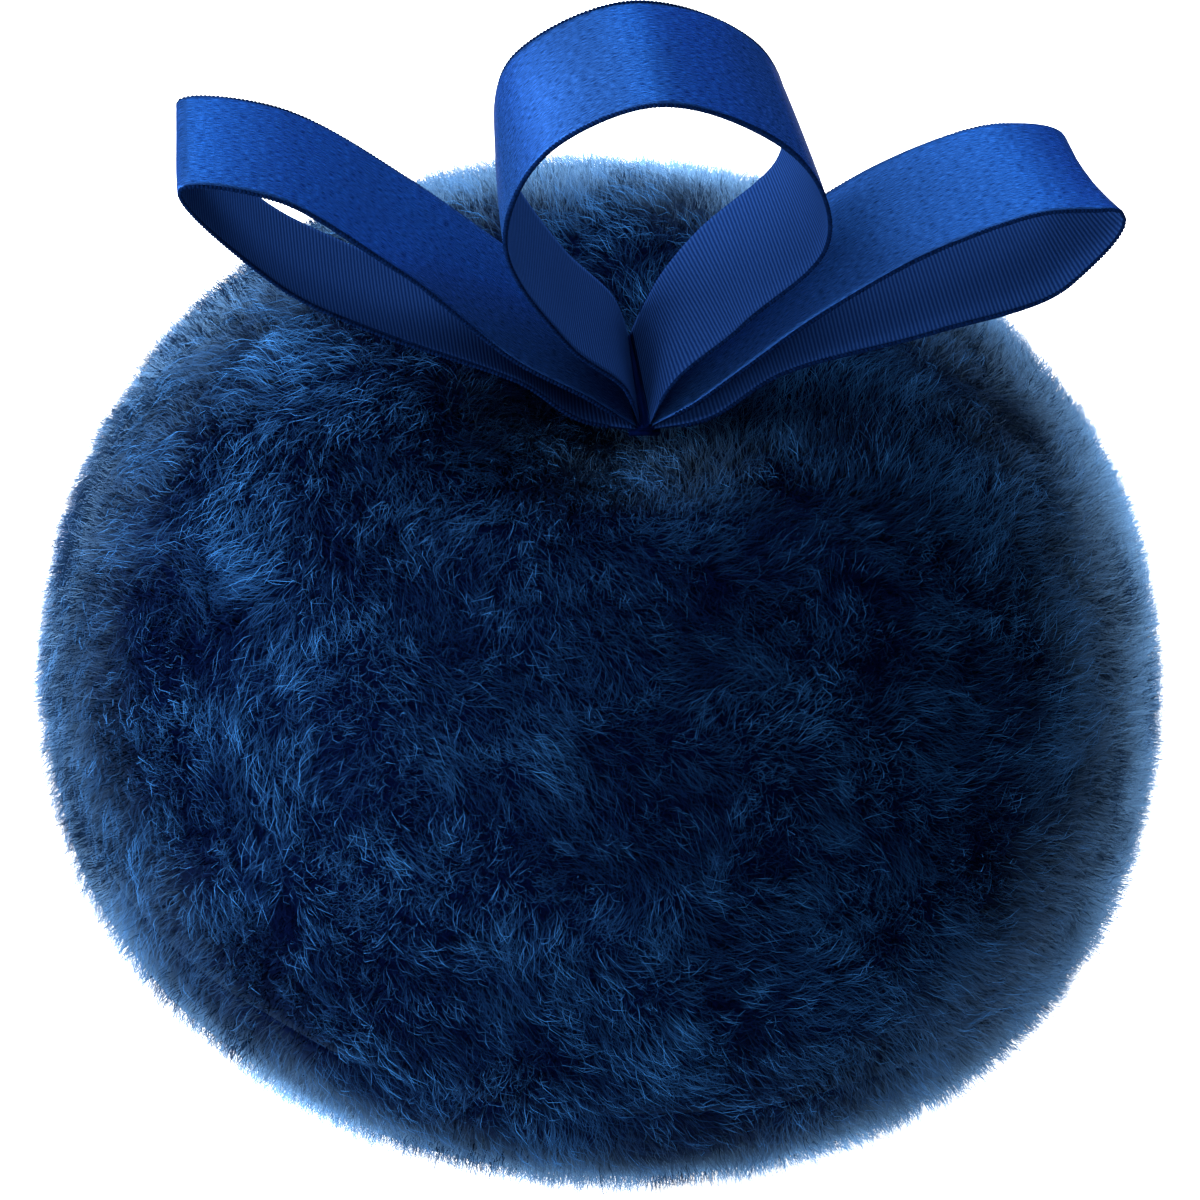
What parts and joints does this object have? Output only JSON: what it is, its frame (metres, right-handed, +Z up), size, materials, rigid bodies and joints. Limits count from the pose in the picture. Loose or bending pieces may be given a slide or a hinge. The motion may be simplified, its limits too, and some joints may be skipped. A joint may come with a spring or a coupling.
{
  "type": "powder puff",
  "caption": "Round plush powder puff with a soft filled body and a satin ribbon bow, tacked to its crown, as a finger grip.",
  "frame": {"origin": "middle of the flat under the puff that it rests on", "axes": "+Z up from the powdering face through the bow, +X along the bow from its left loop to its right loop, +Y along the bow's sewn foot"},
  "size_m": [0.086, 0.086, 0.0885],
  "materials": {
    "plush_face": "matte",
    "plush_back": "matte",
    "fibre": "matte",
    "thread": "matte",
    "ribbon": "satin"
  },
  "bodies": {
    "puff": {"face_panel": "plush_face", "back_panel": "plush_back", "fibre_filling": "fibre", "rim_seam_thread": "thread", "tack_thread": "thread"},
    "bow": {"ribbon_foot": "ribbon"},
    "middle": {"middle_loop": "ribbon"},
    "right": {"right_loop": "ribbon"},
    "left": {"left_loop": "ribbon"}
  },
  "joints": [
    {"name": "bow_twist", "type": "hinge", "parent": "puff", "child": "bow", "pos_m": [0, 0, 0.0545], "axis": [0, 0, 1], "range_deg": [-20, 20], "stiffness_Nm_per_rad": 0.002},
    {"name": "middle_loop_lean", "type": "hinge", "parent": "bow", "child": "middle", "pos_m": [0, 0, 0.0545], "axis": [0, 1, 0], "range_deg": [-6, 6], "stiffness_Nm_per_rad": 0.002},
    {"name": "right_loop_lift", "type": "hinge", "parent": "bow", "child": "right", "pos_m": [0, 0, 0.0545], "axis": [0, -1, 0], "range_deg": [-12, 6], "stiffness_Nm_per_rad": 0.002},
    {"name": "left_loop_lift", "type": "hinge", "parent": "bow", "child": "left", "pos_m": [0, 0, 0.0545], "axis": [0, 1, 0], "range_deg": [-12, 8], "stiffness_Nm_per_rad": 0.002}
  ]
}
